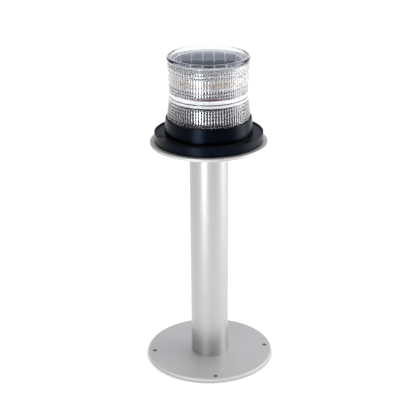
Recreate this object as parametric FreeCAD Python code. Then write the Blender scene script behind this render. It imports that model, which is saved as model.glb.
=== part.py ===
"""Solar navigation light on an aluminium pedestal, modelled in millimetres.

The origin is the centre of the foot plate's underside and +Z is up. The lantern's front is -Y.
From the bottom up: foot plate, pipe, top plate, mounting ring, then the lantern, which twists
into the ring: housing with its battery, lens, lamp stack and solar panel.
Each function makes one sub-part, and the list at the end writes one STEP file for each.
"""

import FreeCAD, Part
import math
import os

V = FreeCAD.Vector
UP = V(0, 0, 1)
DOWN = V(0, 0, -1)
FULL_TURN = 360.0

# ------------------------------------------------------------------ pedestal
base_diameter = 203.2
base_thickness = 6.35
plate_edge_round = 0.8
base_hole_diameter = 7.0
base_hole_inset = 9.525  # from the foot plate's rim to a hole's middle
base_hole_count = 4
base_turn = 5.5  # degrees that the foot plate's holes stand round from the lantern's front

pipe_diameter = 60.33
pipe_wall = 3.91
pipe_length = 362.0

top_plate_margin = 6.75  # how far the top plate stands out beyond the ring
top_plate_thickness = 4.76

plug_thickness = 20.0
plug_screw_circle = 32.0
plug_screw_count = 3
plug_screw_length = 18.0
countersink_depth_below_face = 0.4

# ------------------------------------------------------------------ mounting ring
ring_height = 14.6
ring_channel_width = 14.75  # from the twist lock's bore to the lip
ring_lip_width = 1.9
ring_lip_height = 1.7
ring_wall = 2.5
ring_floor = 4.0
ring_floor_reach = 15.6  # how far the floor runs in from the twist lock's bore
ring_rib_count = 12
ring_rib_width = 2.0
ring_core_roof = 3.4  # plastic left above the hollow under the ring
ring_bolt_count = 3
ring_bolt_angle = -42.5
ring_bolt_end_gap = 0.3  # how far a bolt stops short of the top plate's underside
ring_counterbore_diameter = 11.4
ring_counterbore_margin = 0.15  # between a counterbore and the lip
bolt_head_recess = 0.6  # how far a bolt's head lies below the ring's face

# ------------------------------------------------------------------ twist lock
foot_step = 0.3  # how much further in the housing's foot stands than the lens's
lug_reach = 3.2  # how far a lug stands out of the foot
lug_height = 4.0
lug_span = 30.0  # degrees
lug_count = 3
lug_angle = 20.0
twist_travel = 36.0  # degrees from locked to free
entry_slack = 3.0  # degrees that an entry notch is wider than its lug, on each side
running_gap = 0.4
stop_span = 4.0  # degrees
stop_gap = 0.4  # degrees between a lug and the stop at each end of its travel

# ------------------------------------------------------------------ housing
skirt_height = 24.6
skirt_edge_round = 0.7  # on the skirt's two outside edges
skirt_cover = 1.0  # how far the skirt hides the twist lock's bore
socket_wall = 1.8  # housing wall left round the lens's foot
housing_wall = 3.5
housing_floor = 6.0
shelf_depth = 8.0  # how far the lens drops into the housing
lens_fit_gap = 0.3
seal_thickness = 1.0

cover_rebate_width = 9.5
cover_thickness = 2.0
cover_plug_height = 1.5
cover_gap = 0.3
cover_screw_inset = 3.8  # from the rebate's wall to a cover screw's axis
cover_screw_count = 4
cover_screw_length = 5.0
cover_hole_spare = 0.5  # how much deeper a screw hole is than its screw
cover_seal_width = 1.4
cover_seal_depth = 0.9
cover_seal_inset = 0.8  # from the battery opening to the seal's groove

# ------------------------------------------------------------------ lens
lens_foot_diameter = 128.6
lens_foot_wall = 3.2
lens_bevel = 0.4  # how far the ribs start inside the foot's outside face
waist_inset = 4.3  # how far the waist lies inside the foot's outside face
waist_wall = 3.2
lower_wall = 4.3
lower_band_height = 29.0
lower_band_rings = 6
lower_band_flare = 0.9  # how far the lower band's top stands out beyond the waist
plain_band_height = 10.0
groove_height = 4.5  # above the lower band
groove_depth = 0.6
groove_width = 1.0
groove_lip = 0.3
upper_band_height = 47.0
upper_band_rings = 8
upper_band_flare = 2.4  # how far the upper band's top stands out beyond the waist
prism_depth = 0.7
band_bevel = 0.2
collar_height = 3.0
bead_radius = 3.2
bead_inset = 2.2  # how far the bead's middle lies inside the collar
window_inset = 7.2  # from the bead's middle to the window's edge
window_thickness = 3.0
window_dome = 1.7
window_drop = 4.6  # from the bead's top down to the window's middle
seat_above_housing = 1.0  # how far the ribs start above the housing

# ------------------------------------------------------------------ battery
cell_diameter = 18.4
cell_length = 49.5
cell_edge_round = 0.8
cell_nub_diameter = 6.0
cell_nub_height = 1.0
cell_gap = 1.5
link_width = 5.0
link_thickness = 0.3
battery_lead_x = 0.0
battery_lead_y = 2.8
lead_hole_diameter = 10.0
holder_clearance = 1.6
holder_wall = 1.6
holder_roof = 2.0
holder_ear_radius = 6.0
holder_ear_reach = 4.5  # from the cover's rebate to an ear screw's axis
holder_ear_thickness = 4.0
holder_ear_count = 3
holder_screw_length = 7.5
holder_hole_spare = 0.5

# ------------------------------------------------------------------ lamp stack
stack_screw_count = 3
standoff_height = 9.0
standoff_flats = 5.5
board_margin = 4.0  # how far the board stands out beyond the lamp drum
board_thickness = 1.6
spacer_diameter = 7.0
drum_diameter = 66.0
drum_height = 14.0
drum_wall = 3.0
drum_top_thickness = 3.0
drum_clearance = 3.0  # the least room between the tallest piece on the board and the drum
stack_screw_circle = 44.0
lamp_drop = 5.0  # how far the lamps stand below the middle of the upper band
flex_thickness = 0.4
flex_height = 11.0
led_count = 20
led_width = 3.5
led_height = 3.5
led_depth = 1.4
led_dome_radius = 1.4
led_dome_sink = 0.4  # how far the dome's centre lies behind the lamp's face
led_backing = 0.3  # how far a lamp's box is made too deep before it is cut to the strip

coil_diameter = 14.0
coil_bore = 5.0
coil_height = 5.0
capacitor_diameter = 8.0
capacitor_height = 11.0
connector_width = 9.0
connector_depth = 6.0
connector_height = 6.5
COIL_CENTRE = V(-14, 6, 0)
CAPACITOR_CENTRES = (V(2, -26, 0), V(28, 6, 0))
# x, y, width, depth and height of each chip
CHIPS = ((-6, -18, 10, 10, 1.6), (14, 8, 6, 5, 1.5), (-10, -29, 7, 4.5, 2.2), (-30, 4, 4, 8, 1.2))
connector_inset = 8.0  # how much nearer the axis the panel's connector stands than its leads' run
lamp_connector_inset = 4.0

# ------------------------------------------------------------------ solar panel
carrier_gap = 1.3
carrier_thickness = 2.5
carrier_rim = 1.6
panel_side_gap = 0.8
panel_width = 86.0
panel_gap = 0.3  # between the cells and the window over them
panel_margin = 0.8
backing_thickness = 1.6
cell_sheet_thickness = 0.4
cell_sheet_columns = 5
cell_sheet_rows = 4
column_gap = 1.2
row_pitch = 42.5
row_gap = 1.5
pad_thickness = 4.0
pad_stand = 2.0  # how far the pad stands out of the carrier's rim
pad_width = 6.0
pad_inset = 0.5

# ------------------------------------------------------------------ wires
lead_diameter = 1.5
lead_spacing = 2.4
panel_lead_angle = 68.0  # where the panel's leads go down beside the lamp drum
lamp_lead_angle = 128.0
lamp_lead_lap = 2.0  # how far the lamp cable runs up the strip
lead_side_gap = 0.1
step_top_share = 0.78  # where a lead starts to step across, as a share of the room under the drum
step_foot_share = 0.30  # where it ends its step
bend_share = 0.45  # how much of the shorter run a bend takes up

# ------------------------------------------------------------------ standard fasteners
M6_COUNTERSUNK = dict(shank=6.0, head=12.0, height=3.3, socket=4.0, socket_depth=2.2)
M6_CAP = dict(shank=6.0, head=10.0, height=6.0, socket=5.0, socket_depth=3.0)
M4_PAN = dict(shank=4.0, head=7.6, height=2.6, socket=2.5, socket_depth=1.4)
M3_PAN = dict(shank=3.0, head=5.6, height=2.0, socket=2.0, socket_depth=1.1)
M3_COUNTERSUNK = dict(shank=3.0, head=5.6, height=1.5, socket=2.0, socket_depth=0.9)
M6_WASHER = dict(bore=6.4, outside=11.0, thickness=1.6)
head_round_share = 0.12  # a screw head's edge round, as a share of the head's height
bolt_clearance = 0.6  # how much wider a plain hole is than its screw's shank
overrun = 1.0  # how far a cutting tool runs past a face

# ------------------------------------------------------------------ heights
base_top = base_thickness
pipe_top = base_top + pipe_length
plate_top = pipe_top + top_plate_thickness
ring_top = plate_top + ring_height
ring_face = ring_top - ring_lip_height
ring_floor_top = plate_top + ring_floor
bolt_seat = ring_face - bolt_head_recess - M6_CAP["height"]
counterbore_floor = bolt_seat - M6_WASHER["thickness"]

housing_bottom = ring_floor_top + running_gap
housing_floor_top = housing_bottom + housing_floor
skirt_bottom = ring_face + running_gap
skirt_top = skirt_bottom + skirt_height
shelf_top = skirt_top - shelf_depth
lug_top = ring_face - ring_core_roof
lug_bottom = lug_top - lug_height

lens_bottom = shelf_top + seal_thickness
lower_band_bottom = skirt_top + seat_above_housing
lower_band_top = lower_band_bottom + lower_band_height
groove_middle = lower_band_top + groove_height
upper_band_bottom = lower_band_top + plain_band_height
upper_band_top = upper_band_bottom + upper_band_height
bead_centre = upper_band_top + collar_height + bead_radius
bead_top = bead_centre + bead_radius
window_top = bead_top - window_drop
window_under = window_top - window_thickness

cover_top = housing_bottom + cover_thickness
cover_plug_top = cover_top + cover_plug_height
cell_bottom = cover_plug_top + link_thickness
cell_top = cell_bottom + cell_length + cell_nub_height
roof_bottom = cell_top + link_thickness
holder_top = roof_bottom + holder_roof
ear_top = housing_floor_top + holder_ear_thickness
board_bottom = holder_top + standoff_height
board_top = board_bottom + board_thickness
connector_top = board_top + connector_height
board_parts_top = board_top + max(coil_height, capacitor_height, connector_height)
# The drum stands where its lamps meet the upper band, or higher if what is on the board needs the room.
drum_bottom = max((upper_band_bottom + upper_band_top) / 2 - lamp_drop - drum_height / 2,
                  board_parts_top + drum_clearance)
drum_top = drum_bottom + drum_height
lamp_middle = (drum_bottom + drum_top) / 2
cell_sheet_top = window_under - panel_gap
backing_top = cell_sheet_top - cell_sheet_thickness
backing_bottom = backing_top - backing_thickness
carrier_top = backing_bottom - pad_thickness
carrier_bottom = carrier_top - carrier_thickness
carrier_rim_top = backing_bottom - pad_stand

# ------------------------------------------------------------------ radii
pipe_bore_radius = pipe_diameter / 2 - pipe_wall
lens_foot_radius = lens_foot_diameter / 2
lens_socket_radius = lens_foot_radius + lens_fit_gap
skirt_top_radius = lens_socket_radius + socket_wall
foot_radius = lens_foot_radius - foot_step
housing_bore_radius = foot_radius - housing_wall
lug_radius = foot_radius + lug_reach
ring_bore_radius = lug_radius + running_gap
ring_throat_radius = foot_radius + running_gap
skirt_bottom_radius = ring_bore_radius + skirt_cover
ring_radius = ring_bore_radius + ring_channel_width + ring_lip_width
ring_bolt_radius = ring_radius - ring_lip_width - ring_counterbore_margin - ring_counterbore_diameter / 2
top_plate_radius = ring_radius + top_plate_margin

waist_radius = lens_foot_radius - waist_inset
lower_band_top_radius = waist_radius + lower_band_flare
collar_radius = waist_radius + upper_band_flare
bead_middle_radius = collar_radius - bead_inset
window_radius = bead_middle_radius - window_inset
lens_bore_foot_radius = lens_foot_radius - lower_wall
lens_bore_top_radius = waist_radius - waist_wall
carrier_radius = lens_bore_top_radius - carrier_gap
panel_radius = lens_bore_top_radius - panel_side_gap
pad_radius = carrier_radius - carrier_rim - pad_inset

cell_spacing = cell_diameter + cell_gap
holder_bore_radius = cell_spacing / math.sqrt(2) + cell_diameter / 2 + holder_clearance
holder_radius = holder_bore_radius + holder_wall
cover_rebate_radius = holder_bore_radius + cover_rebate_width
cover_seal_radius = holder_bore_radius + cover_seal_inset + cover_seal_width
holder_ear_circle_radius = cover_rebate_radius + holder_ear_reach
drum_radius = drum_diameter / 2
strip_radius = drum_radius + flex_thickness
stack_screw_radius = stack_screw_circle / 2
lead_run_radius = strip_radius + led_depth + led_dome_radius + 2 * lead_diameter


# ------------------------------------------------------------------ shape helpers
def polar(radius, degrees, height=0.0):
    """The point at this radius, angle from +X, and height."""
    angle = math.radians(degrees)
    return V(radius * math.cos(angle), radius * math.sin(angle), height)


def angles_round(count, first=0.0):
    """Evenly spaced angles round a circle, in degrees."""
    return [first + FULL_TURN * i / count for i in range(count)]


def ring_of_points(radius, count, first):
    """Evenly spaced points round a circle."""
    return [polar(radius, a) for a in angles_round(count, first)]


def disc(radius, bottom, top, centre=V(0, 0, 0)):
    """A solid upright cylinder."""
    return Part.makeCylinder(radius, top - bottom, V(centre.x, centre.y, bottom), UP)


def tube(outer_radius, inner_radius, bottom, top, centre=V(0, 0, 0)):
    """An upright tube."""
    bore = disc(inner_radius, bottom - overrun, top + overrun, centre)
    return disc(outer_radius, bottom, top, centre).cut(bore)


def sector(outer_radius, inner_radius, bottom, top, middle, span):
    """A piece of a tube, span degrees wide round the angle called middle."""
    corners = [V(r, 0, z) for r, z in ((inner_radius, bottom), (outer_radius, bottom),
                                       (outer_radius, top), (inner_radius, top))]
    face = Part.Face(Part.makePolygon(corners + corners[:1]))
    solid = face.revolve(V(0, 0, 0), UP, span)
    solid.rotate(V(0, 0, 0), UP, middle - span / 2)
    return solid


def box_at(width, depth, bottom, top, centre):
    """An upright box centred over a point."""
    corner = V(centre.x - width / 2, centre.y - depth / 2, bottom)
    return Part.makeBox(width, depth, top - bottom, corner)


def hexagon(flats, bottom, top, centre):
    """An upright hexagonal prism, measured across its flats."""
    corner_radius = flats / math.sqrt(3)
    corners = [centre + polar(corner_radius, a) for a in angles_round(6)]
    corners = [V(p.x, p.y, bottom) for p in corners]
    face = Part.Face(Part.makePolygon(corners + corners[:1]))
    return face.extrude(V(0, 0, top - bottom))


def fuse_all(shapes):
    """One solid from several that overlap or touch."""
    whole = shapes[0].multiFuse(shapes[1:]) if len(shapes) > 1 else shapes[0]
    return whole.removeSplitter()


def group(shapes):
    """Separate solids kept together in one sub-part."""
    solids = [solid for shape in shapes for solid in shape.Solids]
    return Part.makeCompound(solids)


def revolve_outline(edges):
    """A solid turned from a closed outline in the XZ plane."""
    face = Part.Face(Part.Wire(edges))
    solid = face.revolve(V(0, 0, 0), UP, FULL_TURN)
    return Part.Solid(solid) if solid.ShapeType == "Shell" else solid.Solids[0]


def chain(points):
    """Straight edges through (radius, height) points."""
    corners = [V(r, 0, z) for r, z in points]
    return [Part.LineSegment(a, b).toShape() for a, b in zip(corners, corners[1:])]


def arc(start, middle, end):
    """An arc through three (radius, height) points."""
    return Part.Arc(*[V(r, 0, z) for r, z in (start, middle, end)]).toShape()


# ------------------------------------------------------------------ fastener helpers
def screw_shank(size, start, length, centre, way=UP):
    """A plain cylinder for a screw's shank."""
    return Part.makeCylinder(size["shank"] / 2, length, V(centre.x, centre.y, start), way)


def cap_screw(size, seat, length, centre):
    """A screw hanging down from its head's seat, with a cylindrical head and a hexagon socket."""
    crown = seat + size["height"]
    head = disc(size["head"] / 2, seat, crown, centre)
    top_edge = [e for e in head.Edges if abs(e.BoundBox.ZMin - crown) < 1e-6]
    head = head.makeFillet(head_round_share * size["height"], top_edge)
    socket = hexagon(size["socket"], crown - size["socket_depth"], crown + overrun, centre)
    return fuse_all([screw_shank(size, seat - length, length, centre), head]).cut(socket)


def countersunk_head(size, face, centre, way):
    """The cone of a countersunk head whose wide end lies in the plane called face."""
    wide, narrow = size["head"] / 2, size["shank"] / 2
    return Part.makeCone(wide, narrow, size["height"], V(centre.x, centre.y, face), way)


def countersunk_screw(size, face, length, centre, way):
    """A countersunk screw that points along way, with its flat head in the plane called face."""
    head = countersunk_head(size, face, centre, way)
    screw = fuse_all([head, screw_shank(size, face, length, centre, way)])
    inner, outer = face + way.z * size["socket_depth"], face - way.z * overrun
    return screw.cut(hexagon(size["socket"], min(inner, outer), max(inner, outer), centre))


def countersink(size, face, depth, centre, way):
    """The cutting tool for a countersunk screw's hole, from an outside face inwards."""
    start = V(centre.x, centre.y, face)
    mouth = Part.makeCylinder(size["head"] / 2, countersink_depth_below_face, start, way)
    cone = countersunk_head(size, face + way.z * countersink_depth_below_face, centre, way)
    return mouth.fuse([cone, screw_shank(size, face, depth, centre, way)])


def clearance_hole(size, bottom, top, centre):
    """The cutting tool for a plain hole that a screw passes through."""
    return disc((size["shank"] + bolt_clearance) / 2, bottom - overrun, top + overrun, centre)


def tapped_hole(size, bottom, top, centre):
    """The cutting tool for a threaded hole that runs right through."""
    return disc(size["shank"] / 2, bottom - overrun, top + overrun, centre)


def washer(size, bottom, centre):
    """A plain washer."""
    return tube(size["outside"] / 2, size["bore"] / 2, bottom, bottom + size["thickness"], centre)


# ------------------------------------------------------------------ where the fasteners stand
base_hole_points = ring_of_points(base_diameter / 2 - base_hole_inset, base_hole_count, base_turn)
plug_screw_points = ring_of_points(plug_screw_circle / 2, plug_screw_count, 90)
ring_bolt_points = ring_of_points(ring_bolt_radius, ring_bolt_count, ring_bolt_angle)
cover_screw_points = ring_of_points(cover_rebate_radius - cover_screw_inset, cover_screw_count, 0)
holder_ear_angles = angles_round(holder_ear_count, 30)
stack_screw_points = ring_of_points(stack_screw_radius, stack_screw_count, 90)
half_spacing = cell_spacing / 2
cell_points = [V(x * half_spacing, y * half_spacing, 0) for x, y in ((-1, -1), (1, -1), (1, 1), (-1, 1))]
battery_lead_points = [V(battery_lead_x, side * battery_lead_y, 0) for side in (-1, 1)]
panel_connector = polar(lead_run_radius - connector_inset, panel_lead_angle)
lamp_connector = polar(strip_radius - lamp_connector_inset, lamp_lead_angle)
lug_angles = angles_round(lug_count, lug_angle)


# ------------------------------------------------------------------ pedestal
def round_plate(radius, bottom, top):
    """A round plate with both outside edges rounded."""
    plate = disc(radius, bottom, top)
    rims = [e for e in plate.Edges if e.Length > 3 * radius]
    return plate.makeFillet(plate_edge_round, rims)


def base_plate():
    """The foot: a round plate with its bolt holes and the plug's countersunk holes underneath."""
    plate = round_plate(base_diameter / 2, 0, base_top)
    holes = [disc(base_hole_diameter / 2, -overrun, base_top + overrun, p) for p in base_hole_points]
    sinks = [countersink(M6_COUNTERSUNK, 0, base_top + overrun, p, UP) for p in plug_screw_points]
    return plate.cut(holes + sinks)


def top_plate():
    """The plate that carries the lantern, screwed down to the pipe's upper plug."""
    plate = round_plate(top_plate_radius, pipe_top, plate_top)
    holes = [tapped_hole(M6_CAP, pipe_top, plate_top, p) for p in ring_bolt_points]
    depth = top_plate_thickness + overrun
    sinks = [countersink(M6_COUNTERSUNK, plate_top, depth, p, DOWN) for p in plug_screw_points]
    return plate.cut(holes + sinks)


def pedestal_pipe():
    """The plain pipe between the two plates."""
    return tube(pipe_diameter / 2, pipe_bore_radius, base_top, pipe_top)


def end_plug(bottom):
    """A turned plug fixed in one end of the pipe, tapped for the plate's screws."""
    top = bottom + plug_thickness
    holes = [tapped_hole(M6_COUNTERSUNK, bottom, top, p) for p in plug_screw_points]
    return disc(pipe_bore_radius, bottom, top).cut(holes)


def foot_screws():
    """The countersunk screws up through the foot plate into its plug."""
    face = countersink_depth_below_face
    return group([countersunk_screw(M6_COUNTERSUNK, face, plug_screw_length, p, UP)
                  for p in plug_screw_points])


def head_screws():
    """The countersunk screws down through the top plate into its plug."""
    face = plate_top - countersink_depth_below_face
    return group([countersunk_screw(M6_COUNTERSUNK, face, plug_screw_length, p, DOWN)
                  for p in plug_screw_points])


# ------------------------------------------------------------------ mounting ring
def ring_core():
    """What is cut from under the ring: an annular hollow, less its ribs and the bosses round the bolts."""
    inner, outer = ring_bore_radius + ring_wall, ring_radius - ring_wall
    top = ring_face - ring_core_roof
    hollow = tube(outer, inner, plate_top - overrun, top)
    boss_radius = ring_counterbore_diameter / 2 + ring_wall
    kept = [disc(boss_radius, plate_top - 2 * overrun, ring_face, p) for p in ring_bolt_points]
    for angle in angles_round(ring_rib_count, ring_bolt_angle + FULL_TURN / ring_rib_count / 2):
        rib = box_at(outer - inner + 2 * overrun, ring_rib_width, plate_top - 2 * overrun, ring_face,
                     V((inner + outer) / 2, 0, 0))
        rib.rotate(V(0, 0, 0), UP, angle)
        kept.append(rib)
    return hollow.cut(kept)


def mounting_ring():
    """The bolted-down ring: outer lip, ribbed hollow underside, and the twist lock's throat and stops."""
    body = disc(ring_radius, plate_top, ring_top)
    channel = tube(ring_radius - ring_lip_width, ring_throat_radius - overrun, ring_face, ring_top + overrun)
    bore = disc(ring_bore_radius, ring_floor_top, lug_top + running_gap)
    throat = disc(ring_throat_radius, ring_floor_top, ring_top + overrun)
    floor_bore = disc(ring_bore_radius - ring_floor_reach, plate_top - overrun, ring_floor_top + overrun)
    body = body.cut([channel, bore, throat, floor_bore, ring_core()])

    entry_span = lug_span + 2 * entry_slack
    entries = [sector(ring_bore_radius, ring_throat_radius - overrun, lug_top, ring_top + overrun,
                      angle + twist_travel, entry_span) for angle in lug_angles]
    bolt_holes = [clearance_hole(M6_CAP, plate_top, ring_top, p) for p in ring_bolt_points]
    counterbore_radius = ring_counterbore_diameter / 2
    counterbores = [disc(counterbore_radius, counterbore_floor, ring_top + overrun, p)
                    for p in ring_bolt_points]
    body = body.cut(entries + bolt_holes + counterbores)

    clear_of_lug = lug_span / 2 + stop_gap + stop_span / 2
    stop_angles = [a - clear_of_lug for a in lug_angles]
    stop_angles += [a + twist_travel + clear_of_lug for a in lug_angles]
    stops = [sector(ring_bore_radius + overrun, ring_throat_radius, ring_floor_top, lug_top + running_gap,
                    a, stop_span) for a in stop_angles]
    return fuse_all([body] + stops)


def ring_bolts():
    """The cap screws down through the ring into the top plate's threads."""
    length = bolt_seat - pipe_top - ring_bolt_end_gap
    return group([cap_screw(M6_CAP, bolt_seat, length, p) for p in ring_bolt_points])


def ring_washers():
    """The washers under the cap screws' heads."""
    return group([washer(M6_WASHER, counterbore_floor, p) for p in ring_bolt_points])


# ------------------------------------------------------------------ housing
def housing():
    """The black body: skirt over the ring, foot with three lugs, lens socket and battery opening."""
    skirt = Part.makeCone(skirt_bottom_radius, skirt_top_radius, skirt_height, V(0, 0, skirt_bottom), UP)
    rims = [e for e in skirt.Edges if e.Length > skirt_top_radius * math.pi]
    skirt = skirt.makeFillet(min(skirt_edge_round, socket_wall / 2), rims)
    foot = disc(foot_radius, housing_bottom, skirt_bottom)
    lugs = [sector(lug_radius, foot_radius - overrun, lug_bottom, lug_top, a, lug_span) for a in lug_angles]
    body = fuse_all([skirt, foot] + lugs)
    hollows = [
        disc(housing_bore_radius, housing_floor_top, skirt_top + overrun),
        disc(lens_socket_radius, shelf_top, skirt_top + overrun),
        disc(holder_bore_radius, housing_bottom - overrun, housing_floor_top + overrun),
        disc(cover_rebate_radius, housing_bottom - overrun, cover_top),
    ]
    cover_hole_top = housing_bottom + cover_screw_length + cover_hole_spare
    hollows += [disc(M3_COUNTERSUNK["shank"] / 2, housing_bottom, cover_hole_top, p)
                for p in cover_screw_points]
    ear_hole_bottom = ear_top - holder_screw_length - holder_hole_spare
    ear_points = [polar(holder_ear_circle_radius, a) for a in holder_ear_angles]
    hollows += [disc(M4_PAN["shank"] / 2, ear_hole_bottom, housing_floor_top + overrun, p)
                for p in ear_points]
    return body.cut(hollows)


def lens_seal():
    """The flat ring that the lens presses on its shelf."""
    return tube(lens_foot_radius, housing_bore_radius + lens_fit_gap, shelf_top, lens_bottom)


def cover_groove(top):
    """The square-section ring that the battery cover's seal fills, up to the height called top."""
    return tube(cover_seal_radius, cover_seal_radius - cover_seal_width, cover_top - cover_seal_depth, top)


def battery_cover():
    """The round lid in the housing's underside."""
    lid = disc(cover_rebate_radius - cover_gap, housing_bottom, cover_top)
    plug = disc(holder_bore_radius - cover_gap, housing_bottom, cover_plug_top)
    heads = [countersunk_head(M3_COUNTERSUNK, housing_bottom, p, UP) for p in cover_screw_points]
    holes = [tapped_hole(M3_COUNTERSUNK, housing_bottom, cover_top, p) for p in cover_screw_points]
    return fuse_all([lid, plug]).cut([cover_groove(cover_top + overrun)] + heads + holes)


def cover_seal():
    """The ring in the battery cover's groove."""
    return cover_groove(cover_top)


def cover_screws():
    """The countersunk screws up through the battery cover."""
    return group([countersunk_screw(M3_COUNTERSUNK, housing_bottom, cover_screw_length, p, UP)
                  for p in cover_screw_points])


# ------------------------------------------------------------------ battery
def battery_cells():
    """Four upright cells in series, every second one standing on its terminal nub."""
    def one(point, nub_up):
        low = cell_bottom if nub_up else cell_bottom + cell_nub_height
        can = disc(cell_diameter / 2, low, low + cell_length, point)
        rims = [e for e in can.Edges if e.Length > 3 * cell_diameter]
        can = can.makeFillet(cell_edge_round, rims)
        nub = disc(cell_nub_diameter / 2, low - cell_nub_height, low + cell_length + cell_nub_height, point)
        wanted = box_at(cell_spacing, cell_spacing, cell_bottom, cell_top, point)
        return fuse_all([can, nub.common(wanted)])
    return group([one(point, number % 2 == 0) for number, point in enumerate(cell_points)])


def link_strip(start, end, bottom):
    """A flat strip with round ends between two points."""
    run = end - start
    corner = V(start.x, start.y - link_width / 2, bottom)
    strip = Part.makeBox(run.Length, link_width, link_thickness, corner)
    strip.rotate(V(start.x, start.y, 0), UP, math.degrees(math.atan2(run.y, run.x)))
    ends = [disc(link_width / 2, bottom, bottom + link_thickness, p) for p in (start, end)]
    return fuse_all([strip] + ends)


def cell_links():
    """Nickel strips: two over the cells, one under them, and two tabs where the battery's leads start."""
    first, second, third, last = cell_points
    under = cell_bottom - link_thickness
    return group([
        link_strip(first, second, cell_top),
        link_strip(third, last, cell_top),
        link_strip(second, third, under),
        link_strip(first, battery_lead_points[0], under),
        link_strip(last, battery_lead_points[1], under),
    ])


def battery_lead(point):
    """One lead, straight up between the cells from its tab to the board."""
    return disc(lead_diameter / 2, cell_bottom, board_bottom, point)


def battery_holder():
    """A drum round the cells, with a roof that carries the lamp stack and three ears on the floor."""
    wall = tube(holder_radius, holder_bore_radius, housing_floor_top, holder_top)
    roof = disc(holder_radius, roof_bottom, holder_top)
    ears, holes = [], [disc(lead_hole_diameter / 2, roof_bottom - overrun, holder_top + overrun)]
    arm_start = holder_bore_radius + holder_wall / 2
    for angle in holder_ear_angles:
        centre = polar(holder_ear_circle_radius, angle)
        arm_middle = V((holder_ear_circle_radius + arm_start) / 2, 0, 0)
        arm_length = holder_ear_circle_radius - arm_start
        arm = box_at(arm_length, 2 * holder_ear_radius, housing_floor_top, ear_top, arm_middle)
        arm.rotate(V(0, 0, 0), UP, angle)
        ears += [arm, disc(holder_ear_radius, housing_floor_top, ear_top, centre)]
        holes.append(clearance_hole(M4_PAN, housing_floor_top, ear_top, centre))
    holes += [tapped_hole(M3_PAN, roof_bottom, holder_top, p) for p in stack_screw_points]
    return fuse_all([wall, roof] + ears).cut(holes)


def holder_screws():
    """The screws through the holder's ears."""
    points = [polar(holder_ear_circle_radius, a) for a in holder_ear_angles]
    return group([cap_screw(M4_PAN, ear_top, holder_screw_length, p) for p in points])


# ------------------------------------------------------------------ lens
def band_steps(bottom, top, bottom_radius, top_radius, count, steps_in_at_top):
    """Outline points of one ribbed band: each ring slopes by prism_depth and then steps back."""
    points = []
    for i in range(count):
        low, high = i / count, (i + 1) / count
        radius_low = bottom_radius + (top_radius - bottom_radius) * low
        radius_high = bottom_radius + (top_radius - bottom_radius) * high
        height_low, height_high = bottom + (top - bottom) * low, bottom + (top - bottom) * high
        if steps_in_at_top:
            points += [(radius_low, height_low), (radius_high - prism_depth, height_high)]
        else:
            points += [(radius_low - prism_depth, height_low), (radius_high, height_high)]
    return points


def lens_outside():
    """The lens's outside from its foot up to its collar, as (radius, height) points."""
    upper_middle = (upper_band_bottom + upper_band_top) / 2
    upper_middle_radius = (waist_radius + collar_radius) / 2
    half_rings = upper_band_rings // 2
    points = [(lens_foot_radius, lens_bottom), (lens_foot_radius, lower_band_bottom)]
    points += band_steps(lower_band_bottom, lower_band_top, lens_foot_radius - lens_bevel,
                         lower_band_top_radius, lower_band_rings, True)
    points += [
        (lower_band_top_radius, lower_band_top + band_bevel),
        (waist_radius + groove_lip, groove_middle - groove_width / 2),
        (waist_radius - groove_depth, groove_middle),
        (waist_radius, groove_middle + groove_width / 2),
        (waist_radius, upper_band_bottom - band_bevel),
    ]
    lower_half = band_steps(upper_band_bottom, upper_middle, waist_radius, upper_middle_radius,
                            half_rings, False)
    upper_half = band_steps(upper_middle, upper_band_top, upper_middle_radius, collar_radius,
                            upper_band_rings - half_rings, True)
    points += lower_half + upper_half[1:]
    collar = [(collar_radius, upper_band_top + band_bevel), (collar_radius, bead_centre - bead_radius)]
    return points + collar


def lens():
    """The one-piece clear cap: ribbed wall, smooth waist, rounded rim and slightly domed window."""
    outside = lens_outside()
    bead_out, bead_in = bead_middle_radius + bead_radius, bead_middle_radius - bead_radius
    edges = chain(outside + [(bead_out, bead_centre)])
    edges.append(arc((bead_out, bead_centre), (bead_middle_radius, bead_top), (bead_in, bead_centre)))

    dome_edge = window_top - window_dome
    sphere_radius = (window_radius ** 2 + window_dome ** 2) / (2 * window_dome)
    half_angle = math.asin(window_radius / sphere_radius) / 2
    dome_fall = sphere_radius * (1 - math.cos(half_angle))
    dome_middle = (sphere_radius * math.sin(half_angle), window_top - dome_fall)
    edges += chain([(bead_in, bead_centre), (window_radius, dome_edge)])
    edges.append(arc((window_radius, dome_edge), dome_middle, (0, window_top)))

    foot_bore = lens_foot_radius - lens_foot_wall
    edges += chain([
        (0, window_top), (0, window_under), (lens_bore_top_radius, window_under),
        (lens_bore_foot_radius, lower_band_bottom), (foot_bore, lower_band_bottom),
        (foot_bore, lens_bottom), (lens_foot_radius, lens_bottom),
    ])
    return revolve_outline(edges)


# ------------------------------------------------------------------ lamp stack
def board_standoffs():
    """The hexagon pillars between the holder's roof and the board."""
    return group([hexagon(standoff_flats, holder_top, board_bottom, p).cut(
        tapped_hole(M3_PAN, holder_top, board_bottom, p)) for p in stack_screw_points])


def control_board():
    """The charge and flasher circuit board, held between the standoffs and the spacers."""
    board = disc(drum_radius + board_margin, board_bottom, board_top)
    return board.cut([clearance_hole(M3_PAN, board_bottom, board_top, p) for p in stack_screw_points])


def board_parts():
    """What stands on the board: coil, capacitors, chips and the connectors of the panel and the lamps."""
    pieces = [tube(coil_diameter / 2, coil_bore / 2, board_top, board_top + coil_height, COIL_CENTRE)]
    for centre in CAPACITOR_CENTRES:
        pieces.append(disc(capacitor_diameter / 2, board_top, board_top + capacitor_height, centre))
    for x, y, width, depth, height in CHIPS:
        pieces.append(box_at(width, depth, board_top, board_top + height, V(x, y, 0)))
    for point in (panel_connector, lamp_connector):
        pieces.append(box_at(connector_width, connector_depth, board_top, connector_top, point))
    return group(pieces)


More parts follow.
